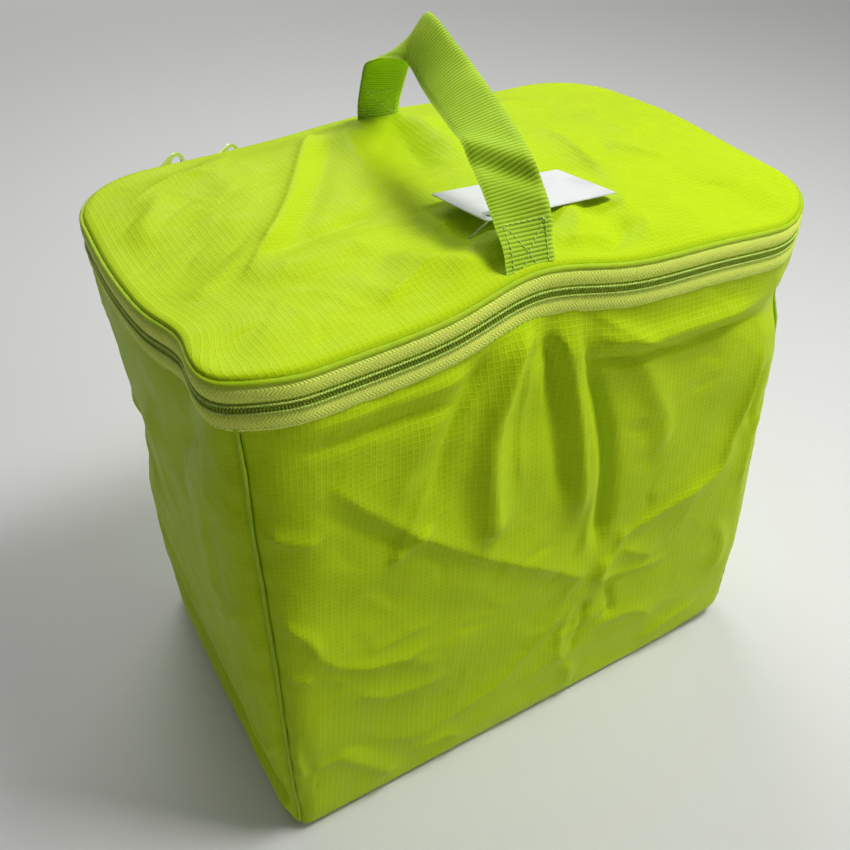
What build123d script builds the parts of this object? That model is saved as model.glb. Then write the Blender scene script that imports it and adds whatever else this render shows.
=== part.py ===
from build123d import *
import math
import os

# Insulated cooler bag: a tub of padded panels, and a padded lid that a zip closes and that
# turns about its rear seam. X is across the bag, the front faces -Y, +Z is up, millimetres.

# The bag as a whole
WIDTH = 380.0
DEPTH = 254.0
HEIGHT = 360.0
TOP_RADIUS = 50.0        # corner radius at the rim
BASE_RADIUS = 12.0       # corner radius at the floor
BASE_INSET = 4.0         # how far the floor's outline stands inside the rim's
SHOULDER_Z = 331.0       # top of the tub's panels; straight up from here

# Wall layers, from the outside in
FABRIC = 1.0
FOAM = 6.0
LINER = 0.8
FOAM_INNER = FABRIC + FOAM
LINER_INNER = FOAM_INNER + LINER
BASE_PANEL = 1.2
FOAM_TOP_Z = 327.0

# Piping: a corded edge, half sunk in the seam that it covers
PIPING_RADIUS = 1.6
GROOVE_RADIUS = 1.7
PIPING_BEND = 7.0

# Zip: two tapes, each with half of the chain along its edge
CHAIN_Z = 343.0
CHAIN_GAP = 1.2
COIL_HEIGHT = 3.2
COIL_DEPTH = 2.6
TAPE_OUTER = 0.3
TAPE_INNER = 1.1
ZIP_SPLIT_X = 147.0      # behind here both halves of the zip belong to the tub
ZIP_END_X = 60.0         # the zip's two ends, where the hinge strip starts
STOP_LENGTH = 4.0
CLEAR = 0.3

# Lid
HINGE_Y = DEPTH / 2 - 1.0
HINGE_Z = 356.0
LID_FOAM_Z = 351.0
LID_LINER = 0.8
BINDING = 1.6

# Handle: a webbing loop from the lid's front edge to its rear edge, turned a little
STRAP_WIDTH = 30.0
STRAP_THICKNESS = 1.8
STRAP_TURN = 8.7         # degrees about the vertical
STRAP_X = -2.0
STRAP_PIVOT_Z = 376.0
STRAP_END = 119.0        # foot of each sewn end, from the middle of the lid
STRAP_PIVOT = 112.5      # top of each sewn end
LOOP_POINTS = [(-109, 376.4), (-97, 395), (-66, 414), (-15, 427), (36, 438), (86, 408), (109, 376.4)]
LOOP_RADII = [20, 60, 120, 6, 12]

# Sliders and their pulls
SLIDER_LENGTH = 12.0
SLIDER_WIDTH = 10.0
PLATE = 1.2
PLATE_GAP = 0.4          # from the chain's outer face
NECK_HEIGHT = 0.6
CORNER_SLIDER_X = TOP_RADIUS - WIDTH / 2
REAR_SLIDER_X = -104.0
PIVOT_RISE = 3.5         # pull's pivot above the outer plate
ARCH_RISE = 2.1          # inside of the arch, above the pivot
ARCH_HALF = 3.0
ARCH_BAR = 0.7
ARCH_HALF_WIDTH = 0.8
PULL_LENGTH = 32.0
PULL_ROOT = 4.2
PULL_TIP_RADIUS = 6.0
PULL_HOLE_RADIUS = 3.8
PULL_THICKNESS = 1.6
PULL_WINDOW = (6.0, 6.0)  # opening behind the root bar, along and across the tab
PULL_OUTWARD = 15.0      # degrees that a resting pull stands off the bag's back

# Hang tag on its plastic loop
TAG_SIZE = (90.0, 50.0, 0.6)
TAG_CENTRE = (22.0, -49.0, 371.5)
TAG_TILT = (-5.0, 5.0, 4.0)
TAG_EYE = 6.0                      # from the card's edges to the middle of its eye
TAG_HEAD = (-45, -66, 361.8)
FILAMENT_RADIUS = 0.5


def outline(z, inset=0.0):
    """The bag's outside at height z, drawn in by inset."""
    rise = min(z / SHOULDER_Z, 1.0)
    drawn_in = BASE_INSET * (1 - rise) + inset
    radius = BASE_RADIUS + (TOP_RADIUS - BASE_RADIUS) * rise - inset
    return Pos(0, 0, z) * RectangleRounded(WIDTH - 2 * drawn_in, DEPTH - 2 * drawn_in, radius)


def flared_block(low, high, inset):
    return loft([outline(low, inset), outline(high, inset)], ruled=True)


def flared_wall(low, high, outer, inner):
    return flared_block(low, high, outer) - flared_block(low, high, inner)


def slab(low, high, inset):
    return extrude(outline(low, inset), high - low)


def band(low, high, outer, inner):
    """An upright band that follows the rim."""
    return slab(low, high, outer) - slab(low, high, inner)


def box(low, high):
    size = [b - a for a, b in zip(low, high)]
    middle = [(a + b) / 2 for a, b in zip(low, high)]
    return Pos(*middle) * Box(*size)


def side_zones():
    """One upright block for each side of the bag, parted by the corners' 45 degree planes."""
    reach = 20.0
    ridge = (WIDTH - DEPTH) / 2
    x, y = WIDTH / 2 + reach, DEPTH / 2 + reach
    corners = {
        "front": [(-x, -y), (x, -y), (ridge, 0), (-ridge, 0)],
        "back": [(-x, y), (-ridge, 0), (ridge, 0), (x, y)],
        "left": [(-x, -y), (-ridge, 0), (-x, y)],
        "right": [(x, -y), (x, y), (ridge, 0)],
    }
    return {side: extrude(make_face(Polyline(*points, close=True)), HEIGHT)
            for side, points in corners.items()}


def side_cord(side_sign, radius):
    """Cord down a front seam, along the foot of a side panel and up the rear seam."""
    top_cut = TOP_RADIUS * (1 - math.sqrt(0.5))
    foot_cut = BASE_RADIUS * (1 - math.sqrt(0.5))
    top_x = side_sign * (WIDTH / 2 - top_cut)
    top_y = DEPTH / 2 - top_cut
    foot_x = side_sign * (WIDTH / 2 - BASE_INSET - 0.4)
    foot_y = DEPTH / 2 - BASE_INSET - foot_cut
    foot_z = PIPING_RADIUS + 0.3
    path = FilletPolyline((top_x, -top_y, SHOULDER_Z), (foot_x, -foot_y, foot_z),
                          (foot_x, foot_y, foot_z), (top_x, top_y, SHOULDER_Z), radius=PIPING_BEND)
    return sweep(Plane(origin=path @ 0, z_dir=path % 0) * Circle(radius), path=path)


def rim_cord(radius):
    """Cord round the lid, centred on the hinge line along the back."""
    path = outline(HINGE_Z, DEPTH / 2 - HINGE_Y).wire()
    return sweep(Plane(origin=path @ 0, z_dir=path % 0) * Circle(radius), path=path)


def tub():
    zones = side_zones()
    grooves = [side_cord(sign, GROOVE_RADIUS) for sign in (-1, 1)]
    fabric = flared_wall(BASE_PANEL, SHOULDER_Z, 0, FABRIC)
    foam = flared_wall(BASE_PANEL + FOAM, FOAM_TOP_Z, FABRIC, FOAM_INNER)
    names = {"front": "front_panel", "back": "back_panel",
             "left": "left_side_panel", "right": "right_side_panel"}
    nodes = {}
    for side, zone in zones.items():
        nodes[names[side]] = (fabric & zone) - grooves
        nodes[side + "_foam"] = (foam & zone) - grooves
    nodes["base_panel"] = slab(0, BASE_PANEL, 0) - grooves
    nodes["base_foam"] = flared_block(BASE_PANEL, BASE_PANEL + FOAM, FABRIC) - grooves
    nodes["left_side_piping"] = side_cord(-1, PIPING_RADIUS)
    nodes["right_side_piping"] = side_cord(1, PIPING_RADIUS)
    floor_z = BASE_PANEL + FOAM
    nodes["tub_liner"] = (flared_block(floor_z, FOAM_TOP_Z, FOAM_INNER)
                          - flared_block(floor_z + LINER, FOAM_TOP_Z, LINER_INNER))
    nodes["rim_binding"] = flared_wall(FOAM_TOP_Z, FOAM_TOP_Z + BINDING, FABRIC, LINER_INNER) - grooves
    return nodes


def rear_block(half_width, low=SHOULDER_Z, high=HEIGHT):
    return box((-half_width, DEPTH / 2 - 10, low), (half_width, DEPTH / 2 + 5, high))


def zip_band():
    """The zip, and the strip that carries the hinge between the zip's two ends."""
    coil_low = CHAIN_Z - CHAIN_GAP / 2 - COIL_HEIGHT
    coil_high = CHAIN_Z + CHAIN_GAP / 2 + COIL_HEIGHT
    upper_z = HINGE_Z - PIPING_RADIUS
    ends = ZIP_END_X + CLEAR
    coil_ends = ZIP_END_X + STOP_LENGTH
    nodes = {}
    nodes["body_zip_tape"] = band(SHOULDER_Z, coil_low, TAPE_OUTER, TAPE_INNER) - rear_block(ends)
    nodes["body_zip_coil"] = band(coil_low, coil_low + COIL_HEIGHT, 0, COIL_DEPTH) - rear_block(coil_ends)
    upper_tape = band(coil_high, upper_z, TAPE_OUTER, TAPE_INNER)
    upper_coil = band(coil_high - COIL_HEIGHT, coil_high, 0, COIL_DEPTH)
    nodes["lid_zip_tape"] = upper_tape - rear_block(ZIP_SPLIT_X + CLEAR)
    nodes["lid_zip_coil"] = upper_coil - rear_block(ZIP_SPLIT_X + CLEAR)
    parked = rear_block(ZIP_SPLIT_X, high=upper_z - CLEAR)
    parked_half = (upper_tape & (parked - rear_block(ends))) + (upper_coil & (parked - rear_block(coil_ends)))
    left = box((-WIDTH, 0, 0), (0, DEPTH, HEIGHT))
    nodes["left_zip_end"] = parked_half & left
    nodes["right_zip_end"] = parked_half - left
    stop = box((-STOP_LENGTH / 2 + CLEAR, DEPTH / 2 - COIL_DEPTH, CHAIN_Z - SLIDER_WIDTH / 2),
               (STOP_LENGTH / 2 - CLEAR, DEPTH / 2 - TAPE_INNER - 0.1, CHAIN_Z + SLIDER_WIDTH / 2))
    stop_x = ZIP_END_X + STOP_LENGTH / 2
    nodes["zip_end_stops"] = Compound([Pos(sign * stop_x, 0, 0) * stop for sign in (-1, 1)])
    nodes["hinge_strip"] = band(SHOULDER_Z, upper_z - CLEAR, 0, FABRIC) & rear_block(ZIP_END_X)
    return nodes


def lid():
    groove = rim_cord(GROOVE_RADIUS)
    cover = slab(HINGE_Z, HEIGHT, 1.0)
    cover = fillet(cover.faces().sort_by(Axis.Z)[-1].edges(), 2.4)
    foam_inset = 3.8
    foam_top = HEIGHT - FABRIC
    foam = slab(LID_FOAM_Z, foam_top, foam_inset) - groove
    nodes = {}
    nodes["lid_cover"] = cover - slab(HINGE_Z, foam_top, foam_inset) - groove
    nodes["lid_foam"] = foam
    nodes["lid_liner"] = slab(LID_FOAM_Z - LID_LINER, LID_FOAM_Z, foam_inset)
    nodes["lid_binding"] = band(LID_FOAM_Z, HINGE_Z - PIPING_RADIUS, BINDING, foam_inset)
    nodes["lid_piping"] = rim_cord(PIPING_RADIUS)
    return nodes


def strap_along(path):
    """Webbing that follows a path in the YZ plane."""
    start = Plane(origin=path @ 0, x_dir=(1, 0, 0), z_dir=path % 0)
    return sweep(start * Rectangle(STRAP_WIDTH, STRAP_THICKNESS), path=path)


def handle():
    turned = Pos(STRAP_X, 0, 0) * Rot(0, 0, -STRAP_TURN)
    loop = FilletPolyline(*[(0, y, z) for y, z in LOOP_POINTS], radius=LOOP_RADII)
    foot_z = HEIGHT + STRAP_THICKNESS / 4
    nodes = {"handle_loop": turned * strap_along(loop)}
    for name, sign in (("handle_front_end", -1), ("handle_rear_end", 1)):
        path = Line((0, sign * STRAP_END, foot_z), (0, sign * STRAP_PIVOT, STRAP_PIVOT_Z))
        sewn = strap_along(path) - slab(0, HEIGHT, 0)
        nodes[name] = turned * sewn
    return nodes


def slider():
    """A slider at the origin: X along the zip, Y out of the bag, with Y 0 at the chain's face."""
    plate = extrude(Plane.XZ * RectangleRounded(SLIDER_LENGTH, SLIDER_WIDTH, 3.0), -PLATE)
    outer = Pos(0, PLATE_GAP, 0) * plate
    inner_face = -COIL_DEPTH - 2 * PLATE_GAP
    inner = Pos(0, inner_face - PLATE, 0) * plate
    neck = box((-4, inner_face, -NECK_HEIGHT / 2), (4, PLATE_GAP, NECK_HEIGHT / 2))
    floor = PLATE_GAP + PLATE
    inside = floor + PIVOT_RISE + ARCH_RISE
    arch = box((-ARCH_HALF, floor, -ARCH_HALF_WIDTH), (ARCH_HALF, inside + ARCH_BAR, ARCH_HALF_WIDTH))
    arch = fillet(arch.faces().sort_by(Axis.Y)[-1].edges().filter_by(Axis.Z), 0.6)
    window = box((ARCH_BAR - ARCH_HALF, floor, -2), (ARCH_HALF - ARCH_BAR, inside, 2))
    return outer + inner + neck + (arch - window)


def pull(tilt):
    """A teardrop tab with an eye at its free end; its root bar lies on the origin."""
    tip_x = PULL_LENGTH - PULL_TIP_RADIUS
    root_bar = 0.8
    body = make_face(Polyline((0, -PULL_ROOT), (tip_x, -PULL_TIP_RADIUS), (tip_x, PULL_TIP_RADIUS),
                              (0, PULL_ROOT), close=True))
    body += Pos(tip_x, 0) * Circle(PULL_TIP_RADIUS)
    body += Rectangle(2 * root_bar, 2 * PULL_ROOT)
    body -= Pos(tip_x, 0) * Circle(PULL_HOLE_RADIUS)
    body -= Pos(root_bar + PULL_WINDOW[0] / 2, 0) * RectangleRounded(*PULL_WINDOW, 0.8)
    tab = extrude(Plane.XZ * body, PULL_THICKNESS / 2, both=True)
    return Rot(0, 0, PULL_OUTWARD) * Rot(0, -tilt, 0) * tab


def zip_hardware():
    pivot_y = PLATE_GAP + PLATE + PIVOT_RISE
    nodes = {}
    for name, x, tilt in (("corner", CORNER_SLIDER_X, 25.0), ("rear", REAR_SLIDER_X, 20.0)):
        place = Pos(x, DEPTH / 2, CHAIN_Z)
        nodes[name + "_slider"] = place * slider()
        nodes[name + "_pull"] = place * Pos(0, pivot_y, 0) * pull(tilt)
    return nodes


def hang_tag():
    length, width, thickness = TAG_SIZE
    card = extrude(RectangleRounded(length, width, 1.5), thickness)
    eye = (TAG_EYE - length / 2, TAG_EYE - width / 2, 0)
    card -= Pos(*eye) * Cylinder(2.0, 4)
    placement = Pos(*TAG_CENTRE) * Rot(*TAG_TILT)
    placed = placement * card
    through = placement * Pos(*eye)
    above, below = [(through * Pos(0, 0, rise)).position for rise in (2.0, -2.5)]
    path = FilletPolyline(above, below, (-30, -69, 364), TAG_HEAD, radius=1.2)
    loop = sweep(Plane(origin=path @ 0, z_dir=path % 0) * Circle(FILAMENT_RADIUS), path=path)
    bar = through * Pos(0, 0, 2.2) * Box(7, 1, 1)
    head = Pos(*TAG_HEAD) * Box(4.6, 3, 1.6)
    return {"hang_tag": placed, "tag_fastener": loop + bar + head}


def build():
    nodes = {}
    for group in (tub, zip_band, lid, handle, zip_hardware, hang_tag):
        nodes.update(group())
    return nodes


os.makedirs("parts", exist_ok=True)
for name, shape in build().items():
    export_step(shape, "parts/" + name + ".step")
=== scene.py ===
import math

import bpy
import numpy as np
from mathutils import Matrix, Vector


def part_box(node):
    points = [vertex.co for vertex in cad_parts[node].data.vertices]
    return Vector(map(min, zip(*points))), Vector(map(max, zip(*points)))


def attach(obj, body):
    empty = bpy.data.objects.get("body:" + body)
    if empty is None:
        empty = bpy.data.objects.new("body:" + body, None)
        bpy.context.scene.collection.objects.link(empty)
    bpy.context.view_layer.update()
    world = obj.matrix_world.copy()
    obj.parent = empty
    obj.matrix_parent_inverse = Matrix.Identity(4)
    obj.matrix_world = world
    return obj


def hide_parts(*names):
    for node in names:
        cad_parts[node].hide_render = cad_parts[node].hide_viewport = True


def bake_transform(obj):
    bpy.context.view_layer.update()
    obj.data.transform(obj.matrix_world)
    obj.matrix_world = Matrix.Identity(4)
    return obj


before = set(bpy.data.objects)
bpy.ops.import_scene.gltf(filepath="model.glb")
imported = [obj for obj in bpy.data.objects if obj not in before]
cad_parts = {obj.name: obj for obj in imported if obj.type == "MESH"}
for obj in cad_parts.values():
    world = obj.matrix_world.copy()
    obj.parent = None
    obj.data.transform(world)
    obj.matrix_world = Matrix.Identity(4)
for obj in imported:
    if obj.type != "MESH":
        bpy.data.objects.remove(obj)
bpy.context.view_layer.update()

# The looks of an insulated cooler bag. The shape functions work in millimetres in the CAD
# model's frame (X across the bag, front at -Y, Z up); meshes are made in metres.
MM = 0.001


def span(node):
    """A CAD node's lowest and highest corner, in millimetres."""
    low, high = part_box(node)
    return np.array(low) / MM, np.array(high) / MM


# The rim's outline, and the heights of the bands that make it up
RIM_LOW, RIM_HIGH = span("body_zip_coil")
HALF_W, HALF_D = RIM_HIGH[0], RIM_HIGH[1]
TOP_R, BASE_R = 50.0, 12.0
SHOULDER_Z = span("front_panel")[1][2]
BASE_INSET = HALF_W - span("base_panel")[1][0]
CHAIN_Z = (span("body_zip_coil")[1][2] + span("lid_zip_coil")[0][2]) / 2
HINGE_Z = (span("lid_piping")[0][2] + span("lid_piping")[1][2]) / 2
PIPING_R = (span("lid_piping")[1][2] - span("lid_piping")[0][2]) / 2
LID_Z = span("lid_cover")[1][2]
LID_FOAM_Z = span("lid_foam")[0][2]
TUB_FLOOR_Z = span("tub_liner")[0][2]
FOAM_TOP_Z = span("tub_liner")[1][2]
ZIP_END_X = span("hinge_strip")[1][0]
ZIP_SPLIT_X = -span("left_zip_end")[0][0]

# Distances along the rim, from the middle of the front and towards the bag's right
FRONT_RUN = HALF_W - TOP_R
SIDE_RUN = HALF_D - TOP_R
ARC_RUN = math.pi / 2 * TOP_R
RIM_STOPS = np.cumsum([0, FRONT_RUN, ARC_RUN, 2 * SIDE_RUN, ARC_RUN, 2 * FRONT_RUN, ARC_RUN,
                       2 * SIDE_RUN, ARC_RUN, FRONT_RUN])
RIM_LENGTH = RIM_STOPS[-1]
SEAMS = [(RIM_STOPS[i] + RIM_STOPS[i + 1]) / 2 for i in (1, 3, 5, 7)]
REAR_MIDDLE = RIM_LENGTH / 2


# ---------------------------------------------------------------- shape functions

def ease(x, low, high):
    """Smooth step from 0 at low to 1 at high."""
    t = np.clip((x - low) / (high - low), 0, 1)
    return t * t * (3 - 2 * t)


def hill(x, centre, width):
    return np.exp(-((x - centre) / width) ** 2)


def waves(x, y, scale, seed):
    """Smooth irregular waves of about the given wavelength, from -1 to 1."""
    random = np.random.default_rng(seed)
    total = np.zeros(np.broadcast(x, y).shape)
    for _ in range(7):
        angle, phase = random.uniform(0, 2 * math.pi, 2)
        length = scale * random.uniform(0.7, 1.5)
        total += np.sin(2 * math.pi * (x * math.cos(angle) + y * math.sin(angle)) / length + phase)
    return total / 4


def smooth_line(points, steps=8):
    """A Catmull-Rom line through the points."""
    p = np.array(points, float)
    p = np.vstack([2 * p[0] - p[1], p, 2 * p[-1] - p[-2]])
    t = np.linspace(0, 1, steps, endpoint=False)[:, None]
    rows = []
    for a, b, c, d in zip(p, p[1:], p[2:], p[3:]):
        rows.append(0.5 * (2 * b + (c - a) * t + (2 * a - 5 * b + 4 * c - d) * t ** 2
                           + (3 * b - a - 3 * c + d) * t ** 3))
    return np.vstack(rows + [p[-2:-1]])


def fold(u, v, path, width, height, lee=1.0, crisp=False, fade=0.25):
    """Height of one fold in the cloth: a ridge along the path, or a valley if height is negative.
    lee is how many times wider the left side is, and fade is the share over which an end dies out."""
    line = smooth_line(path)
    best = np.full(u.shape, 1e9)
    side = np.zeros(u.shape)
    place = np.zeros(u.shape)
    for i, (a, b) in enumerate(zip(line, line[1:])):
        run = b - a
        t = np.clip(((u - a[0]) * run[0] + (v - a[1]) * run[1]) / (run @ run), 0, 1)
        du, dv = u - a[0] - t * run[0], v - a[1] - t * run[1]
        distance = np.hypot(du, dv)
        near = distance < best
        best = np.where(near, distance, best)
        side = np.where(near, run[0] * dv - run[1] * du, side)
        place = np.where(near, (i + t) / (len(line) - 1), place)
    reach = np.where(side > 0, width * lee, width)
    shape = np.exp(-best / reach) if crisp else np.exp(-(best / reach) ** 1.6)
    return height * shape * ease(place, 0, fade) * ease(-place, -1, -1 + fade)


def folds(u, v, table):
    return sum(fold(u, v, *entry[:3], **(entry[3] if len(entry) > 3 else {})) for entry in table)


def fine_creases(u, v, areas, seed):
    """Thin sharp creases scattered over some areas: (u, v, spread, count, angle in degrees)."""
    random = np.random.default_rng(seed)
    total = np.zeros(u.shape)
    for centre_u, centre_v, spread, count, heading in areas:
        for _ in range(count):
            pu, pv = centre_u + random.normal(0, spread), centre_v + random.normal(0, spread)
            angle = math.radians(heading + random.normal(0, 24))
            length = random.uniform(22, 62)
            bow = random.uniform(-0.18, 0.18) * length
            du, dv = math.cos(angle) * length / 2, math.sin(angle) * length / 2
            path = [(pu - du, pv - dv), (pu - bow * math.sin(angle), pv + bow * math.cos(angle)),
                    (pu + du, pv + dv)]
            total += fold(u, v, path, random.uniform(1.4, 2.4), random.uniform(0.5, 1.3) * random.choice([-1, 1]),
                          lee=random.uniform(1.5, 4.0), crisp=True, fade=0.35)
    return total


def outline(s, z):
    """Skeleton point, outward direction and corner radius of the bag's outline at rim distance s."""
    s = np.mod(s, RIM_LENGTH)
    across = np.interp(s, RIM_STOPS, [0, 1, 1, 1, 1, -1, -1, -1, -1, 0])
    along = np.interp(s, RIM_STOPS, [-1, -1, -1, 1, 1, 1, 1, -1, -1, -1])
    angle = np.radians(np.interp(s, RIM_STOPS, [-90, -90, 0, 0, 90, 90, 180, 180, 270, 270]))
    rise = np.clip(z / SHOULDER_Z, 0, 1)
    radius = BASE_R + (TOP_R - BASE_R) * rise
    inset = BASE_INSET * (1 - rise)
    x = across * (HALF_W - inset - radius)
    y = along * (HALF_D - inset - radius)
    return x, y, np.cos(angle), np.sin(angle), radius


# How the soft rim has settled: (distance along the rim, width, lift, push outward)
RIM_BUMPS = [
    (-15, 42, 7.5, -8.0),          # drawn up and in by the strap's front end
    (-55, 110, 3.0, -1.0),
    (150, 45, -5.5, -1.0),         # front right corner hangs
    (-178, 32, 1.0, 1.0),
    (REAR_MIDDLE - 14, 60, 5.0, -1.0),   # rear end of the strap
    (RIM_STOPS[2] + 100, 60, 2.0, 5.0),  # right side bellies out
    (RIM_STOPS[6] + 55, 70, -4.0, 4.0),  # left side, towards the rear
    (RIM_STOPS[7] - 8, 26, 1.5, -6.0),   # dent behind the front left corner
    (RIM_STOPS[7] + 30, 16, -1.5, 2.5),
]


def crumple(x, y, scale, seed):
    """Small sharp ridges, as in thin coated cloth that has been creased."""
    bent_x = x + 0.5 * scale * waves(x, y, 2.5 * scale, seed + 1)
    bent_y = y + 0.5 * scale * waves(x, y, 2.5 * scale, seed + 2)
    large = 1 - np.abs(waves(bent_x, bent_y, 2 * scale, seed + 3)) * 1.6
    small = 1 - np.abs(waves(bent_x, bent_y, scale, seed + 4)) * 1.6
    mask = 0.35 + 0.65 * np.clip(waves(x, y, 5 * scale, seed + 5) + 0.5, 0, 1)
    return mask * (np.clip(large, 0, 1) ** 2 + 0.5 * np.clip(small, 0, 1) ** 2)


def settle(s, z):
    """Lift and outward push of the rim, dying out down the wall."""
    lift = np.zeros(np.broadcast(s, z).shape)
    push = np.zeros(lift.shape)
    for centre, width, up, out in RIM_BUMPS:
        gap = np.mod(s - centre + RIM_LENGTH / 2, RIM_LENGTH) - RIM_LENGTH / 2
        weight = np.exp(-(gap / width) ** 2)
        lift = lift + up * weight
        push = push + out * weight
    reach = ease(z, 190, 345)
    return lift * reach, push * reach


def rim(s, z, out):
    """Position of a point given flat: s along the rim, height z, and out from the bag's face."""
    s, z, out = np.broadcast_arrays(np.asarray(s, float), np.asarray(z, float), np.asarray(out, float))
    x, y, nx, ny, radius = outline(s, z)
    lift, push = settle(s, z)
    reach = radius + out + push
    return np.stack([x + reach * nx, y + reach * ny, z + lift], -1)


def edge_distance(x, y):
    """How far a point of the plan lies inside the rim."""
    qx, qy = np.abs(x) - FRONT_RUN, np.abs(y) - SIDE_RUN
    outside = np.hypot(np.maximum(qx, 0), np.maximum(qy, 0))
    return TOP_R - outside - np.minimum(np.maximum(qx, qy), 0)


# ---------------------------------------------------------------- meshes

def make_object(name, points, faces, uv=None, smooth=True):
    mesh = bpy.data.meshes.new(name)
    mesh.from_pydata((np.asarray(points) * MM).tolist(), [], faces)
    if uv is not None:
        layer = mesh.uv_layers.new(name="cloth")
        layer.data.foreach_set("uv", (np.asarray(uv) * MM).ravel())
    mesh.polygons.foreach_set("use_smooth", [smooth] * len(mesh.polygons))
    mesh.update()
    piece = bpy.data.objects.new(name, mesh)
    bpy.context.scene.collection.objects.link(piece)
    return piece


def grid_object(name, points, u, v, wrap=False, flip=False):
    """A grid of points, rows by columns, with the flat cloth's u and v at each. A wrapped grid closes
    on itself, and its last column repeats the first only in u and v."""
    rows, columns = points.shape[:2]
    if wrap:
        columns -= 1
        points = points[:, :columns]
    faces, loops = [], []
    for i in range(rows - 1):
        for j in range(columns if wrap else columns - 1):
            k = (j + 1) % columns
            face = [i * columns + j, i * columns + k, (i + 1) * columns + k, (i + 1) * columns + j]
            corner = [(i, j), (i, j + 1), (i + 1, j + 1), (i + 1, j)]
            if flip:
                face.reverse()
                corner.reverse()
            faces.append(face)
            loops.extend((u[c], v[c]) for c in corner)
    return make_object(name, points.reshape(-1, 3), faces, loops)


def add_modifier(piece, kind, **values):
    modifier = piece.modifiers.new(kind.lower(), kind)
    for key, value in values.items():
        setattr(modifier, key, value)
    return modifier


def apply_modifiers(piece):
    bpy.context.view_layer.update()
    graph = bpy.context.evaluated_depsgraph_get()
    mesh = bpy.data.meshes.new_from_object(piece.evaluated_get(graph), depsgraph=graph)
    piece.modifiers.clear()
    piece.data = mesh


def thicken(piece, thickness):
    add_modifier(piece, "SOLIDIFY", thickness=thickness * MM, offset=-1.0)
    return piece


def finish_piece(piece, material, body=None, nodes=(), across=None):
    """Gives a piece its material and hides the CAD nodes that it stands for; then puts it in its body, or, for a piece
    across two bodies, applies its modifiers and fixes its transform.
    """
    piece.data.materials.clear()
    piece.data.materials.append(material)
    if nodes:
        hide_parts(*nodes)
    if across:
        apply_modifiers(piece)
        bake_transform(piece)
    else:
        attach(piece, body)
    return piece


def wrapped_stamps(name, stamp, faces, places, z, out=0.0, mirror=False):
    """Copies of a small flat shape along the rim, bent to follow it."""
    count, size = len(places), len(stamp)
    flat = np.tile(stamp, (count, 1, 1))
    sign = -1.0 if mirror else 1.0
    s = flat[:, :, 0] + np.asarray(places)[:, None]
    points = rim(s, z + sign * flat[:, :, 1], out + flat[:, :, 2]).reshape(-1, 3)
    index = np.asarray(faces)
    if mirror:
        index = index[:, ::-1]
    index = (index[None] + (np.arange(count) * size)[:, None, None]).reshape(-1, index.shape[1])
    return make_object(name, points, index.tolist())


def tube(line, radius, sides=6):
    """Points and faces of a tube along a 3-D line, closed at its ends."""
    line = np.asarray(line, float)
    tangent = np.gradient(line, axis=0)
    tangent /= np.linalg.norm(tangent, axis=1)[:, None]
    side = np.cross(tangent[0], [0, 0, 1.0])
    if np.linalg.norm(side) < 0.1:
        side = np.cross(tangent[0], [0, 1.0, 0])
    points = []
    radius = np.broadcast_to(radius, len(line))
    for p, t, r in zip(line, tangent, radius):
        side = side - t * (side @ t)
        side /= np.linalg.norm(side)
        other = np.cross(t, side)
        for k in range(sides):
            a = 2 * math.pi * k / sides
            points.append(p + r * (math.cos(a) * side + math.sin(a) * other))
    faces = []
    for i in range(len(line) - 1):
        for k in range(sides):
            n = (k + 1) % sides
            faces.append([i * sides + k, i * sides + n, (i + 1) * sides + n, (i + 1) * sides + k])
    faces.append(list(range(sides))[::-1])
    faces.append([(len(line) - 1) * sides + k for k in range(sides)])
    return np.array(points), faces


def joined(parts):
    """One list of points and faces from several."""
    points, faces, start = [], [], 0
    for p, f in parts:
        points.append(np.asarray(p))
        faces += [[i + start for i in face] for face in f]
        start += len(p)
    return np.vstack(points), faces


# ---------------------------------------------------------------- materials

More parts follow.
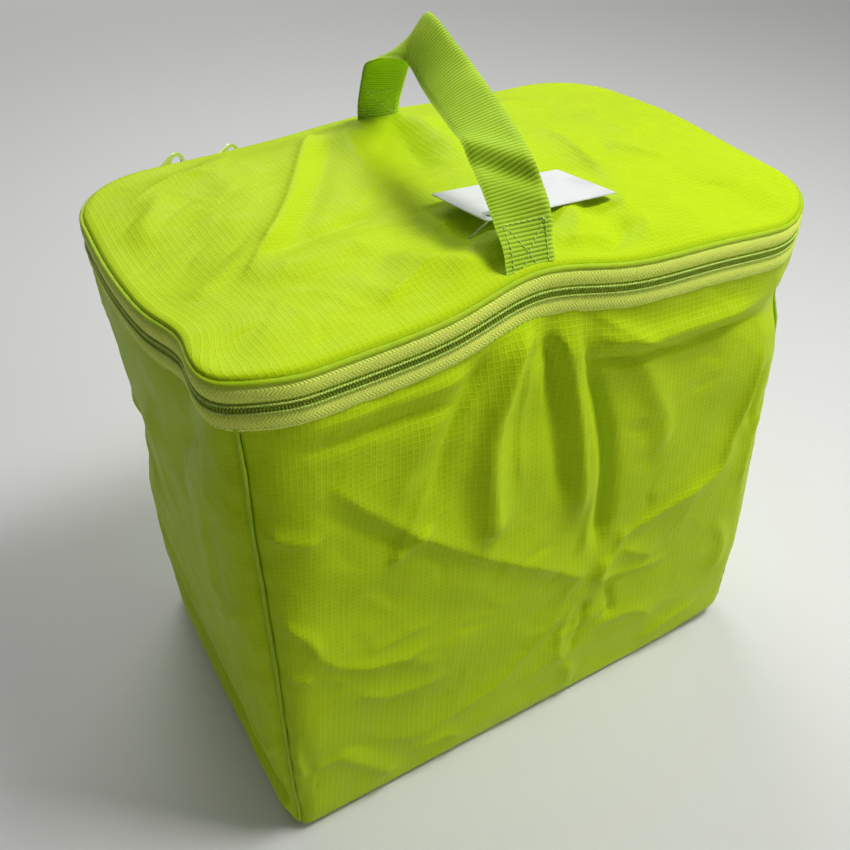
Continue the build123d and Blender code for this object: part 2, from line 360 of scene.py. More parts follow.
class Shader:
    """A material's node tree, with short ways to add what the materials here share."""

    def __init__(self, name, color, roughness, **sockets):
        self.material = bpy.data.materials.new(name)
        self.material.use_nodes = True
        self.tree = self.material.node_tree
        self.tree.nodes.clear()
        self.out = self.tree.nodes.new("ShaderNodeOutputMaterial")
        self.surface = self.tree.nodes.new("ShaderNodeBsdfPrincipled")
        self.tree.links.new(self.surface.outputs[0], self.out.inputs[0])
        self.surface.inputs["Base Color"].default_value = (*color, 1)
        self.surface.inputs["Roughness"].default_value = roughness
        for key, value in sockets.items():
            self.surface.inputs[key.replace("_", " ")].default_value = value
        coordinates = self.tree.nodes.new("ShaderNodeTexCoord")
        self.object = coordinates.outputs["Object"]
        cloth = self.tree.nodes.new("ShaderNodeSeparateXYZ")
        self.tree.links.new(coordinates.outputs["UV"], cloth.inputs[0])
        self.u, self.v = cloth.outputs[0], cloth.outputs[1]
        self.uv = coordinates.outputs["UV"]

    def put(self, socket, value):
        if isinstance(value, bpy.types.NodeSocket):
            self.tree.links.new(value, socket)
        else:
            socket.default_value = value

    def math(self, operation, a, b=0.0, c=0.0):
        node = self.tree.nodes.new("ShaderNodeMath")
        node.operation = operation
        for socket, value in zip(node.inputs, (a, b, c)):
            self.put(socket, value)
        return node.outputs[0]

    def ramp(self, value, low, high, to_low=0.0, to_high=1.0):
        node = self.tree.nodes.new("ShaderNodeMapRange")
        node.interpolation_type = "SMOOTHSTEP"
        for socket, v in zip(node.inputs, (value, low, high, to_low, to_high)):
            self.put(socket, v)
        return node.outputs[0]

    def noise(self, scale, detail=3.0, where=None, rough=0.55):
        node = self.tree.nodes.new("ShaderNodeTexNoise")
        self.put(node.inputs["Vector"], where or self.object)
        node.inputs["Scale"].default_value = scale
        node.inputs["Detail"].default_value = detail
        node.inputs["Roughness"].default_value = rough
        return node.outputs[0]

    def lines(self, coordinate, pitch, width):
        """1 on threads of the given pitch and width, 0 between them."""
        near = self.math("PINGPONG", coordinate, pitch * MM / 2)
        return self.ramp(near, width * MM * 0.35, width * MM * 0.65, 1.0, 0.0)

    def wave(self, coordinate, pitch):
        turn = self.math("MULTIPLY", coordinate, 2 * math.pi / (pitch * MM))
        return self.math("SINE", turn)

    def tint(self, base, other, amount):
        node = self.tree.nodes.new("ShaderNodeMix")
        node.data_type = "RGBA"
        self.put(node.inputs[0], amount)
        for socket, color in zip((node.inputs[6], node.inputs[7]), (base, other)):
            self.put(socket, color if isinstance(color, bpy.types.NodeSocket) else (*color, 1))
        return node.outputs[2]

    def color(self, value):
        self.put(self.surface.inputs["Base Color"], value)

    def roughness(self, value):
        self.put(self.surface.inputs["Roughness"], value)

    def bump(self, height, distance, strength=1.0, below=None):
        node = self.tree.nodes.new("ShaderNodeBump")
        node.inputs["Distance"].default_value = distance * MM
        node.inputs["Strength"].default_value = strength
        self.put(node.inputs["Height"], height)
        if below:
            self.put(node.inputs["Normal"], below)
        self.put(self.surface.inputs["Normal"], node.outputs[0])
        return node.outputs[0]


SHELL = (0.475, 0.665, 0.008)
SHELL_DARK = (0.36, 0.54, 0.004)
# The tape's own light yellow-green with painted light on top: its albedo is raised to stand in for the extra light
# that the upward-tilted tape catches.
TAPE_WITH_PAINTED_LIGHT = (0.84, 1.0, 0.14)
WEBBING = (0.40, 0.64, 0.020)
THREAD = (0.55, 0.74, 0.10)


def ripstop_material():
    """Thin coated polyester: a plain weave with a grid of thicker threads, and a soft gloss."""
    m = Shader("ripstop_polyester", SHELL, 0.42, Sheen_Weight=0.15, Sheen_Roughness=0.35,
               Sheen_Tint=(0.75, 1.0, 0.1, 1.0), Specular_IOR_Level=0.06)
    m.surface.inputs["Sheen Tint"].default_value = (0.75, 1.0, 0.12, 1)
    m.surface.inputs["Specular Tint"].default_value = (0.80, 1.0, 0.15, 1)
    threads = m.math("MAXIMUM", m.lines(m.u, 3.2, 0.75), m.lines(m.v, 3.2, 0.75))
    weave = m.math("MULTIPLY", m.wave(m.u, 0.8), m.wave(m.v, 0.8))
    patches = m.noise(14.0, 3.0)
    worn = m.tint(SHELL, SHELL_DARK, m.ramp(patches, 0.35, 0.75, 0.0, 0.35))
    gridded = m.tint(worn, (0.56, 0.76, 0.02), m.math("MULTIPLY", threads, 0.42))
    speckled = m.tint(gridded, SHELL_DARK, m.ramp(weave, 0.2, 1.0, 0.0, 0.12))
    m.color(speckled)
    m.roughness(m.ramp(m.noise(60.0, 2.0), 0.3, 0.7, 0.36, 0.50))
    crumple = m.bump(m.noise(90.0, 4.0), 0.35, 0.55)
    raised = m.bump(threads, 0.16, 0.9, below=crumple)
    m.bump(weave, 0.05, 0.35, below=raised)
    return m.material


def piping_material():
    m = Shader("piping_fabric", (0.30, 0.46, 0.006), 0.45, Specular_IOR_Level=0.2)
    weave = m.math("MULTIPLY", m.wave(m.u, 0.7), m.wave(m.v, 0.7))
    m.color(m.tint((0.41, 0.60, 0.008), SHELL_DARK, m.ramp(m.noise(220.0, 3.0), 0.4, 0.7, 0.0, 0.5)))
    creased = m.bump(m.noise(260.0, 3.0), 0.5, 0.6)
    m.bump(weave, 0.08, 0.5, below=creased)
    return m.material


def tape_material(name="zip_tape_herringbone", color=TAPE_WITH_PAINTED_LIGHT, band=2.4):
    """Woven tape: diagonal ribs that change direction from band to band."""
    m = Shader(name, color, 0.68, Specular_IOR_Level=0.2)
    zigzag = m.math("PINGPONG", m.v, band * MM)
    ribs = m.wave(m.math("ADD", m.u, zigzag), 1.9)
    threads = m.math("MULTIPLY", m.wave(m.v, 0.55), 0.35)
    weave = m.math("ADD", ribs, threads)
    dark = tuple(0.62 * c for c in color)
    shade = m.tint(color, dark, m.ramp(weave, 0.1, -1.0, 0.0, 0.65))
    m.color(m.tint(shade, tuple(min(1.0, 1.15 * c) for c in color), m.ramp(m.noise(40.0), 0.4, 0.7, 0.0, 0.3)))
    m.bump(weave, 0.16, 0.7)
    return m.material


def coil_material():
    m = Shader("nylon_coil", (0.46, 0.60, 0.04), 0.38, Specular_IOR_Level=0.4)
    m.color(m.tint((0.46, 0.60, 0.04), (0.28, 0.40, 0.015), m.ramp(m.noise(300.0), 0.45, 0.7, 0.0, 0.6)))
    m.bump(m.noise(900.0, 2.0), 0.05, 0.4)
    return m.material


def webbing_material():
    """Flat webbing: rows of thick weft ribs, crossed by fine warp threads."""
    m = Shader("ribbed_webbing", WEBBING, 0.62, Specular_IOR_Level=0.2)
    warp = m.wave(m.v, 1.5)
    weft = m.wave(m.u, 2 * RIB_PITCH)
    threads = m.ramp(m.math("ABSOLUTE", warp), 0.0, 0.7, 0.7, 1.0)
    knit = m.math("MULTIPLY", threads, m.math("ABSOLUTE", weft))
    dark = tuple(0.40 * c for c in WEBBING)
    shade = m.tint(WEBBING, dark, m.ramp(knit, 0.6, 0.0, 0.0, 0.9))
    m.color(m.tint(shade, (0.55, 0.80, 0.05), m.ramp(m.noise(35.0), 0.4, 0.75, 0.0, 0.35)))
    m.roughness(m.ramp(m.noise(120.0), 0.3, 0.7, 0.55, 0.72))
    m.bump(knit, 0.30, 0.9)
    return m.material


RIB_PITCH = 2.1


def thread_material():
    m = Shader("sewing_thread", THREAD, 0.5, Sheen_Weight=0.3)
    m.color(m.tint(THREAD, (0.38, 0.55, 0.05), m.ramp(m.noise(800.0), 0.4, 0.7)))
    m.bump(m.noise(1800.0), 0.05, 0.5)
    return m.material


def foil_material():
    """Metallised film on thin foam: crinkled, half glossy."""
    m = Shader("foil_liner", (0.66, 0.67, 0.68), 0.34, Metallic=0.85)
    cells = m.tree.nodes.new("ShaderNodeTexVoronoi")
    cells.feature = "DISTANCE_TO_EDGE"
    cells.inputs["Scale"].default_value = 70.0
    m.put(cells.inputs["Vector"], m.object)
    m.color(m.tint((0.72, 0.73, 0.74), (0.50, 0.51, 0.53), m.ramp(m.noise(30.0), 0.35, 0.7)))
    m.roughness(m.ramp(m.noise(110.0), 0.3, 0.7, 0.26, 0.44))
    soft = m.bump(m.noise(55.0, 5.0), 0.9, 0.6)
    m.bump(m.ramp(cells.outputs[0], 0.0, 0.6), 0.30, 0.5, below=soft)
    return m.material


def foam_material():
    m = Shader("closed_cell_foam", (0.82, 0.83, 0.81), 0.8)
    cells = m.tree.nodes.new("ShaderNodeTexVoronoi")
    cells.inputs["Scale"].default_value = 900.0
    m.put(cells.inputs["Vector"], m.object)
    m.color(m.tint((0.84, 0.85, 0.83), (0.70, 0.71, 0.69), m.ramp(cells.outputs[0], 0.0, 0.6)))
    m.bump(cells.outputs[0], 0.25, 0.6)
    return m.material


def enamel_material():
    """Painted zinc: even enamel that has rubbed thin in places."""
    m = Shader("enamelled_zinc", (0.58, 0.74, 0.16), 0.30, Coat_Weight=0.4, Coat_Roughness=0.15)
    rubbed = m.ramp(m.noise(420.0, 4.0), 0.62, 0.72, 0.0, 0.6)
    m.color(m.tint((0.58, 0.74, 0.16), (0.70, 0.80, 0.45), rubbed))
    m.roughness(m.ramp(m.noise(150.0), 0.3, 0.7, 0.24, 0.38))
    m.bump(m.noise(500.0), 0.06, 0.4)
    return m.material


def card_material():
    m = Shader("coated_card", (0.70, 0.71, 0.72), 0.36, Specular_IOR_Level=0.4)
    m.color(m.tint((0.72, 0.73, 0.74), (0.62, 0.63, 0.65), m.ramp(m.noise(45.0, 4.0), 0.45, 0.75)))
    m.bump(m.noise(700.0), 0.03, 0.4)
    return m.material


def plastic_material():
    m = Shader("clear_nylon", (0.86, 0.90, 0.80), 0.28, Transmission_Weight=0.55, IOR=1.5)
    m.color(m.tint((0.86, 0.90, 0.80), (0.70, 0.80, 0.55), m.ramp(m.noise(200.0), 0.4, 0.7)))
    m.bump(m.noise(400.0), 0.05, 0.3)
    return m.material


# ---------------------------------------------------------------- panels

# Folds are (path, width, height, options), with paths in millimetres on the panel's face
FRONT_FOLDS = [
    # The pleats that hang from the strap's front end
    ([(-16, 345), (-32, 318), (-46, 278), (-45, 226), (-38, 205)], 7, 6.2, {"lee": 1.5, "fade": 0.2}),
    ([(-14, 338), (-4, 290), (2, 240), (6, 205)], 6.5, -3.8, {"fade": 0.25}),
    ([(-6, 334), (8, 286), (14, 236), (16, 180)], 6, 5.2, {"lee": 1.7, "fade": 0.2}),
    ([(6, 326), (24, 276), (33, 232), (35, 184), (32, 146)], 7.5, -6.4, {"lee": 0.6, "fade": 0.22}),
    ([(34, 322), (58, 280), (72, 238), (70, 200)], 10, 2.8, {"fade": 0.3}),
    ([(-44, 330), (-66, 297), (-82, 250)], 6.5, -3.8, {"fade": 0.3}),
    ([(-60, 325), (-88, 290), (-104, 252)], 8.5, 2.5, {"fade": 0.3}),
    ([(-16, 344), (-30, 318), (-43, 279), (-42, 228), (-34, 204)], 2.2, 2.0, {"lee": 3.0, "crisp": True}),
    ([(-12, 340), (-22, 306), (-26, 262), (-22, 224)], 2.0, 1.6, {"lee": 2.4, "crisp": True}),
    ([(-2, 338), (14, 290), (22, 236), (23, 180), (20, 150)], 2.2, 2.4, {"lee": 3.0, "crisp": True}),
    ([(-24, 340), (-60, 300), (-92, 250), (-104, 212)], 2.2, 1.8, {"lee": 3.0, "crisp": True}),
    ([(2, 338), (36, 318), (66, 300), (96, 290)], 2.0, 1.6, {"lee": 2.0, "crisp": True}),
    # Rolls of slack cloth under the zip tape
    ([(14, 317), (48, 310), (90, 309), (150, 311)], 6.5, 4.8, {"lee": 1.0, "fade": 0.2}),
    ([(8, 304), (40, 297), (92, 295), (152, 298)], 2.5, -3.4, {"lee": 1.2, "fade": 0.25}),
    ([(-52, 322), (-96, 325), (-150, 328)], 5, 3, {"fade": 0.25}),
    ([(-60, 308), (-104, 312), (-160, 314)], 3.5, -2.3, {"fade": 0.3}),
    # Long sharp creases across the left half
    ([(-143, 297), (-100, 248), (-50, 200), (0, 158), (28, 130)], 3.4, 3.0, {"lee": 3.4, "crisp": True, "fade": 0.14}),
    ([(-150, 286), (-112, 246), (-60, 196)], 4.0, -1.2, {"fade": 0.4}),
    ([(-150, 188), (-128, 157), (-100, 142), (-70, 138)], 3.0, 2.4, {"lee": 2.6, "crisp": True}),
    ([(-120, 127), (-98, 109), (-56, 99)], 3.0, 2.0, {"lee": 2.4, "crisp": True}),
    ([(-104, 222), (-92, 232), (-78, 238)], 4.5, 2.5, {"lee": 0.6}),
    ([(-176, 112), (-166, 82), (-159, 60)], 3.5, 2.1, {"lee": 1.6}),
    ([(-172, 210), (-152, 192), (-140, 176)], 4.5, 1.7, {}),
    ([(-176, 270), (-158, 262), (-140, 258)], 4.5, 1.7, {}),
    ([(-178, 170), (-160, 160), (-146, 156)], 3, 1.4, {}),
    # Right half
    ([(150, 281), (139, 237), (128, 203), (119, 181), (81, 169), (41, 155)], 3.6, 3.2, {"lee": 3.0, "crisp": True, "fade": 0.15}),
    ([(152, 262), (146, 232), (140, 206)], 4.5, -2.3, {}),
    ([(160, 222), (148, 190), (142, 150)], 6, 2.1, {}),
    ([(50, 148), (66, 132), (78, 124)], 3.4, 2.4, {"lee": 1.8, "crisp": True}),
    ([(44, 114), (48, 92), (49, 76)], 3, -2.8, {}),
    ([(19, 111), (12, 84), (12, 62), (19, 50)], 3.0, 2.4, {"lee": 2.2, "crisp": True}),
    ([(30, 110), (27, 82), (19, 50)], 2.5, -2.3, {}),
    ([(40, 148), (36, 130), (40, 112)], 4.5, 2.5, {}),
    ([(28, 128), (60, 118), (92, 112)], 3, 1.8, {"lee": 1.8}),
    ([(30, 126), (46, 146), (52, 170)], 3.5, 1.8, {}),
    # Arcs over the swelling foot
    ([(-76, 47), (-31, 62), (0, 96), (19, 116)], 3.6, 2.4, {"lee": 2.4, "crisp": True}),
    ([(31, 75), (66, 70), (87, 47)], 4.0, 2.6, {"lee": 1.9, "crisp": True}),
    ([(75, 16), (100, 31), (126, 37)], 3.5, 2.3, {"lee": 1.6}),
    ([(-134, 78), (-106, 38), (-91, 16)], 3.5, 2.3, {"lee": 1.8}),
    ([(-87, 30), (-62, 32), (-47, 12)], 3.5, 1.9, {}),
    ([(19, 47), (24, 28), (22, 6)], 3.5, 2.1, {}),
    ([(126, 132), (134, 98), (128, 62)], 5, 2.1, {}),
]

LID_FOLDS = [
    # The crown drawn up at the strap's front end, and the folds that run from it
    ([(-20, -120), (-22, -92), (-30, -70)], 14, 5.5, {"fade": 0.4}),
    ([(4, -118), (28, -92), (36, -70), (46, -50)], 8, 5.5, {"lee": 1.5, "fade": 0.3}),
    ([(14, -118), (44, -104), (64, -86)], 6, -3.5, {"fade": 0.3}),
    ([(10, -108), (28, -104), (50, -98)], 3.5, 1.8, {}),
    ([(-38, -116), (-54, -84), (-76, -62)], 7, 2.8, {"lee": 1.6, "fade": 0.3}),
    ([(-97, -102), (-74, -92), (-50, -81)], 3.5, 2.2, {"lee": 2.0, "crisp": True}),
    # The long crease from the strap's rear end down to the left
    ([(-36, 106), (-62, 66), (-97, 10), (-144, -47)], 3.8, 3.8, {"lee": 3.6, "crisp": True, "fade": 0.12}),
    ([(-28, 96), (-50, 58), (-84, 6), (-126, -44)], 10, -2.4, {"lee": 0.8, "fade": 0.3}),
    ([(-172, -46), (-146, -30), (-118, -13)], 5, 1.8, {"lee": 2.0}),
    ([(-150, -31), (-97, -22), (-38, -13)], 7, -2.2, {"fade": 0.3}),
    ([(-150, -52), (-96, -46), (-40, -36)], 12, 2.6, {"fade": 0.35}),
    ([(17, 110), (10, 62), (3, 13)], 8, -4.0, {"lee": 1.4, "fade": 0.25}),
    ([(34, 108), (32, 62), (30, 20)], 9, 2.6, {"fade": 0.3}),
    ([(-10, 112), (-26, 70), (-30, 30)], 8, 2.2, {"fade": 0.3}),
    # Right side
    ([(97, 52), (94, -4), (79, -58), (61, -92)], 5, 3.0, {"lee": 2.6, "crisp": True, "fade": 0.2}),
    ([(114, -5), (126, -24), (138, -42)], 4, 1.6, {"lee": 1.8}),
    ([(128, 60), (140, 20), (150, -18)], 12, 2.2, {"fade": 0.35}),
    ([(60, 104), (92, 92), (128, 92)], 9, 1.8, {"fade": 0.35}),
    ([(-150, 88), (-118, 96), (-84, 108)], 9, 1.8, {"fade": 0.35}),
    ([(-168, 20), (-160, 52), (-140, 84)], 8, 1.8, {"fade": 0.3}),
]

# Side faces use (distance from the bag's front seam towards the rear, height)
LEFT_FOLDS = [
    ([(6, 34), (70, 40), (130, 44), (206, 52)], 6, -3.2, {"lee": 1.8, "fade": 0.15}),
    ([(4, 22), (70, 24), (140, 26), (206, 32)], 12, 3.0, {"fade": 0.2}),
    ([(18, 300), (46, 262), (60, 210), (52, 160)], 8, 3.0, {"lee": 1.8}),
    ([(34, 318), (74, 280), (96, 230)], 9, -3.0, {"fade": 0.3}),
    ([(190, 312), (172, 262), (184, 200), (196, 150)], 9, -3.6, {"fade": 0.25}),
    ([(206, 236), (168, 206), (140, 160)], 5, 2.6, {"lee": 2.2, "crisp": True}),
    ([(20, 150), (70, 132), (118, 96)], 5, 2.4, {"lee": 2.2, "crisp": True}),
    ([(200, 112), (160, 98), (118, 92)], 6, 2.2, {"lee": 1.8}),
    ([(110, 300), (124, 250), (118, 190)], 11, 2.4, {"fade": 0.35}),
    ([(12, 96), (36, 78), (66, 72)], 5, 1.9, {}),
    ([(8, 212), (36, 196), (58, 192)], 5, 1.9, {}),
]

RIGHT_FOLDS = [
    ([(6, 48), (70, 40), (140, 42), (206, 36)], 6, -3.4, {"lee": 1.8, "fade": 0.15}),
    ([(4, 28), (80, 22), (206, 24)], 12, 3.6, {"fade": 0.2}),
    ([(20, 312), (52, 262), (70, 204), (64, 150)], 8, 5.0, {"lee": 1.8}),
    ([(40, 316), (72, 268), (92, 214)], 7, -4.0, {"fade": 0.3}),
    ([(96, 318), (110, 262), (104, 206)], 8, 4.2, {"lee": 1.5, "fade": 0.3}),
    ([(192, 310), (160, 262), (140, 206), (132, 160)], 4.0, 3.8, {"lee": 3.0, "crisp": True}),
    ([(8, 204), (60, 166), (118, 140), (150, 132)], 3.6, 3.4, {"lee": 3.0, "crisp": True}),
    ([(200, 150), (160, 118), (110, 96)], 4.5, 3.4, {"lee": 2.6, "crisp": True}),
    ([(14, 112), (50, 88), (94, 80)], 4.0, 2.8, {"lee": 2.0}),
    ([(204, 232), (176, 196), (164, 150)], 5, 3.0, {"lee": 1.8}),
    ([(150, 96), (168, 74), (196, 64)], 4, 2.4, {"lee": 1.8})
]

BACK_FOLDS = [
    ([(0, 322), (-14, 272), (-12, 214)], 11, 3.6, {"lee": 1.6, "fade": 0.25}),
    ([(20, 320), (32, 264), (28, 210)], 11, -3.4, {"fade": 0.25}),
    ([(-120, 300), (-70, 232), (-10, 176), (60, 140)], 4, 2.8, {"lee": 3.0, "crisp": True, "fade": 0.15}),
    ([(146, 288), (118, 226), (70, 180)], 4, 2.8, {"lee": 2.6, "crisp": True}),
    ([(-150, 316), (-90, 310), (-30, 314)], 7, 2.8, {"fade": 0.25}),
    ([(40, 312), (92, 308), (150, 314)], 7, 2.8, {"fade": 0.25}),
    ([(-160, 190), (-120, 150), (-90, 96)], 5, 2.4, {"lee": 2.2, "crisp": True}),
    ([(160, 160), (122, 122), (60, 100)], 5, 2.4, {"lee": 2.2, "crisp": True}),
    ([(-60, 96), (0, 78), (64, 84)], 6, 2.2, {"lee": 1.8}),
    ([(-150, 50), (-100, 34), (-40, 42)], 6, 2.2, {}),
    ([(40, 40), (96, 30), (150, 44)], 6, 2.2, {}),
]

SEAM_S = {"left_front": -SEAMS[0], "right_front": SEAMS[0], "right_rear": SEAMS[1], "left_rear": SEAMS[2]}
FACES = {
    # start and end of each face along the rim, its folds, and how far it swells
    "front_panel": (-SEAMS[0], SEAMS[0], FRONT_FOLDS, 3.0),
    "right_side_panel": (SEAMS[0], SEAMS[1], RIGHT_FOLDS, 4.0),
    "back_panel": (SEAMS[1], SEAMS[2], BACK_FOLDS, 3.0),
    "left_side_panel": (SEAMS[2], SEAMS[3], LEFT_FOLDS, 3.0),
}
FOAM_OF = {"front_panel": "front_foam", "right_side_panel": "right_foam",
           "back_panel": "back_foam", "left_side_panel": "left_foam"}
SEAM_ALLOWANCE = 2.0


def seam_line(s_seam, z):
    """A seam's place along the rim: it wavers a little as it goes down."""
    fade = ease(z, 0, 30) * ease(-z, -335, -300)
    return s_seam + fade * 0.7 * np.sin(z / 31.0 + s_seam) + fade * 0.25 * np.sin(z / 11.0 + 2 * s_seam)


def sag(s, z):
    """Push of the whole wall, seams included: waist drawn in, belly out."""
    left_rear = hill(np.mod(s - SEAMS[2] + RIM_LENGTH / 2, RIM_LENGTH) - RIM_LENGTH / 2, 0, 60)
    waist = -9.0 * left_rear * hill(z, 195, 75)
    pinch = -5.5 * hill(s, SEAMS[0] - 10, 40) * hill(z, 298, 14)
    belly = 1.6 * hill(z, 120, 90)
    foot = -1.0 * hill(z, 14, 22)
    return waist + pinch + belly + foot


FOOT_LIFT = 10.0


def foot_lift(s, z):
    """The bottom edge is soft, so its front right corner stands off the floor."""
    right = hill(s, SEAMS[0] - 14, 46)
    return FOOT_LIFT * right * ease(-z, -60, 0)


def face_frame(name, s, z):
    """A point's place on a face: across it, and its gaps to the seams."""
    start, end = FACES[name][:2]
    low, high = seam_line(start, z), seam_line(end, z)
    across = {"front_panel": s - (start + end) / 2, "back_panel": (start + end) / 2 - s,
              "right_side_panel": s - start, "left_side_panel": end - s}[name]
    return across, np.minimum(s - low, high - s)


def wall_push(name, s, z):
    """How far the cloth of a face stands out from the wall, folds and all."""
    table, swell = FACES[name][2:]
    u, seam_gap = face_frame(name, s, z)
    border = ease(seam_gap, 0, 16)
    room = border * ease(-z, -(SHOULDER_Z + 6), -(SHOULDER_Z - 12)) * ease(z, 2, 22)
    push = FOLD_GAIN * folds(u, z, table) + swell * hill(z, 150, 130)
    push = push + fine_creases(u, z, FINE_CREASES[name], 91 + len(name))
    push = push + 1.2 * waves(s, z, 85, 11) + 0.45 * waves(s, z * 0.7, 34, 12)
    return (push + 0.45 * (crumple(s, z, 20, 61) - 0.4)) * room


FOLD_GAIN = 1.2
# Where each face is creased most finely: (across, up, spread, count, heading)
FINE_CREASES = {
    "front_panel": [(-12, 318, 14, 12, 88), (20, 130, 30, 14, 60), (-90, 150, 45, 12, -35), (30, 60, 40, 12, 20),
                    (110, 170, 35, 10, 55), (-100, 60, 40, 9, -60), (90, 290, 30, 8, 5)],
    "back_panel": [(0, 300, 22, 8, 90), (-60, 150, 60, 16, 40), (70, 120, 60, 16, -40)],
    "right_side_panel": [(110, 60, 60, 12, 10), (60, 200, 50, 12, 70), (170, 200, 40, 10, -60)],
    "left_side_panel": [(110, 50, 60, 14, 8), (170, 200, 40, 12, 60), (40, 240, 40, 10, -70), (90, 130, 40, 10, 20)],
}


def panel(name):
    start, end = FACES[name][:2]
    z_low, z_high = 0.6, SHOULDER_Z + 9.0
    q = np.linspace(0, 1, int((end - start) / CLOTH_STEP))[None, :]
    z = z_low + (z_high - z_low) * np.linspace(0, 1, int((z_high - z_low) / CLOTH_STEP))[:, None] + 0 * q
    low, high = seam_line(start, z), seam_line(end, z)
    s = low + (high - low) * q
    u, seam_gap = face_frame(name, s, z)
    push = wall_push(name, s, z)
    bottom = ease(z, 2, 22)
    pucker_phase = waves(0 * s, z, 60, 13) * 2.5 + z / 4.6
    push += 0.6 * np.sin(pucker_phase) * np.exp(-((seam_gap - 6) / 5.5) ** 2) * bottom
    gathers = np.sin(u / 4.2 + 1.5 * np.sin(u / 17)) * np.exp(-((SHOULDER_Z + 2 - z) / 8.0) ** 2)
    push += 0.45 * gathers * ease(seam_gap, 0, 16)
    tuck = -1.7 * np.exp(-seam_gap / 2.2)
    turned = 1 - np.sqrt(np.clip(1 - (1 - np.clip((z - z_low) / 8, 0, 1)) ** 2, 0, 1))
    points = rim(s, z, -0.4 + push + tuck - 7.0 * turned + sag(s, z))
    points[..., 2] += foot_lift(s, z)
    under_tape = ease(z, SHOULDER_Z + 1, SHOULDER_Z + 4)
    inward = np.stack(outline(s, z)[2:4], -1)
    points[..., :2] -= (1.6 * under_tape)[..., None] * inward
    return grid_object(name + "_cloth", points, s, z)


CLOTH_STEP = 2.0


def base_piece():
    """The base panel, a little domed, its edge meeting the walls' turned-in foot and lifted with it at the front right
    corner.
    """
    rings = np.linspace(0, 1, 34)[:, None]
    s = np.linspace(0, RIM_LENGTH, 240)[None, :]
    x, y, nx, ny, radius = outline(s, 0 * s)
    edge = np.stack([x + (radius - 7.0) * nx, y + (radius - 7.0) * ny], -1)
    plan = edge * rings[..., None] ** 0.85
    lift = foot_lift(s, 0 * s) * ease(rings, 0.72, 1.0)
    px, py = plan[..., 0], plan[..., 1]
    ripple = 0.5 + 0.45 * waves(px, py, 60, 21) + 0.25 * waves(px, py, 25, 22)
    z = 1.2 + ripple * ease(-rings, -1, -0.9) * ease(rings, 0, 0.2) + lift
    points = np.stack([px, py, z + 0 * px], -1)
    return grid_object("base_cloth", points, px, py, wrap=True, flip=True)


def seam_piping(sign):
    """Covered cord up both upright seams of a side and under the base between them."""
    front, rear = (SEAM_S["right_front"], SEAM_S["right_rear"]) if sign > 0 else \
        (SEAM_S["left_front"], SEAM_S["left_rear"])
    z = np.arange(SHOULDER_Z + 2, 6, -2.5)
    walls = []
    for seam in (front, rear):
        s = seam_line(seam, z)
        points = rim(s, z, -0.4 + sag(s, z))
        points[:, 2] += foot_lift(s, z)
        walls.append(points)
    down, up = walls[0], walls[1][::-1]
    t = np.linspace(0, 1, 100)[1:-1, None]
    under = down[-1] * (1 - t) + up[0] * t
    arch = np.minimum(1, np.minimum(t, 1 - t) * 30)
    under[:, 2] -= (3.6 * np.sqrt(np.clip(1 - (1 - arch) ** 2, 0, 1)))[:, 0]
    under[:, 0] += sign * 0.0
    line = np.vstack([down, under, up])
    kernel = np.ones(5) / 5
    soft = np.stack([np.convolve(np.pad(line[:, k], 2, mode="edge"), kernel, "valid") for k in range(3)], -1)
    soft[0], soft[-1] = line[0], line[-1]
    low = 1.5
    soft[:, 2] = np.maximum(soft[:, 2], low)
    return cord_object("right_seam_piping" if sign > 0 else "left_seam_piping", soft, 1.25)


def cord_object(name, line, radius, sides=12, wrap=False):
    """Covered cord as a tube with its fabric's u along it and v round it."""
    length = np.concatenate([[0], np.cumsum(np.linalg.norm(np.diff(line, axis=0), axis=1))])
    tangent = np.gradient(line, axis=0)
    if wrap:
        tangent[0] = tangent[-1] = line[1] - line[-2]
    tangent /= np.linalg.norm(tangent, axis=1)[:, None]
    side = np.cross(tangent[0], [0.3, 0.2, 1.0])
    angle = np.linspace(0, 2 * math.pi, sides + 1)
    rows, first = [], None
    for i, (p, t) in enumerate(zip(line, tangent)):
        side = side - t * (side @ t)
        side /= np.linalg.norm(side)
        if first is None:
            first = side.copy()
        other = np.cross(t, side)
        puckered = radius * (1 + 0.045 * math.sin(length[i] * 1.3) + 0.04 * math.sin(length[i] * 0.47 + 1))
        rows.append(p + puckered * (np.cos(angle)[:, None] * side + np.sin(angle)[:, None] * other))
    points = np.array(rows)
    if wrap:
        points[-1] = points[0]
    u = np.repeat(length[:, None], sides + 1, 1)
    v = np.repeat((angle * radius)[None, :], len(line), 0)
    piece = grid_object(name, points, u, v, wrap=True)
    if not wrap:
        add_modifier(piece, "SUBSURF", levels=0, render_levels=0)
        piece.modifiers.clear()
    return piece


def lid_shape(x, y):
    """Height of the lid's face above the piping's middle, before its rolled edge."""
    dome = 7.0 * (1 - (x / 200) ** 2) * (1 - (y / 137) ** 2)
    rear_swell = 3.0 * hill(x, -40, 75) * hill(y, 96, 28)
    front_peak = 4.5 * hill(x, -19, 30) * hill(y, -118, 26)
    rear_peak = 3.0 * hill(x, 17, 26) * hill(y, 112, 20)
    middle_dip = -1.6 * hill(x, 60, 60) * hill(y, -10, 60)
    return dome + rear_swell + front_peak + rear_peak + middle_dip


LID_ROLL = 7.0
LID_CREASES = [(-110, 10, 40, 12, 55), (-50, -60, 35, 12, -20), (30, -95, 20, 10, 40), (110, 0, 35, 12, -60),
               (20, 80, 30, 8, 85), (-130, 70, 30, 5, 30)]


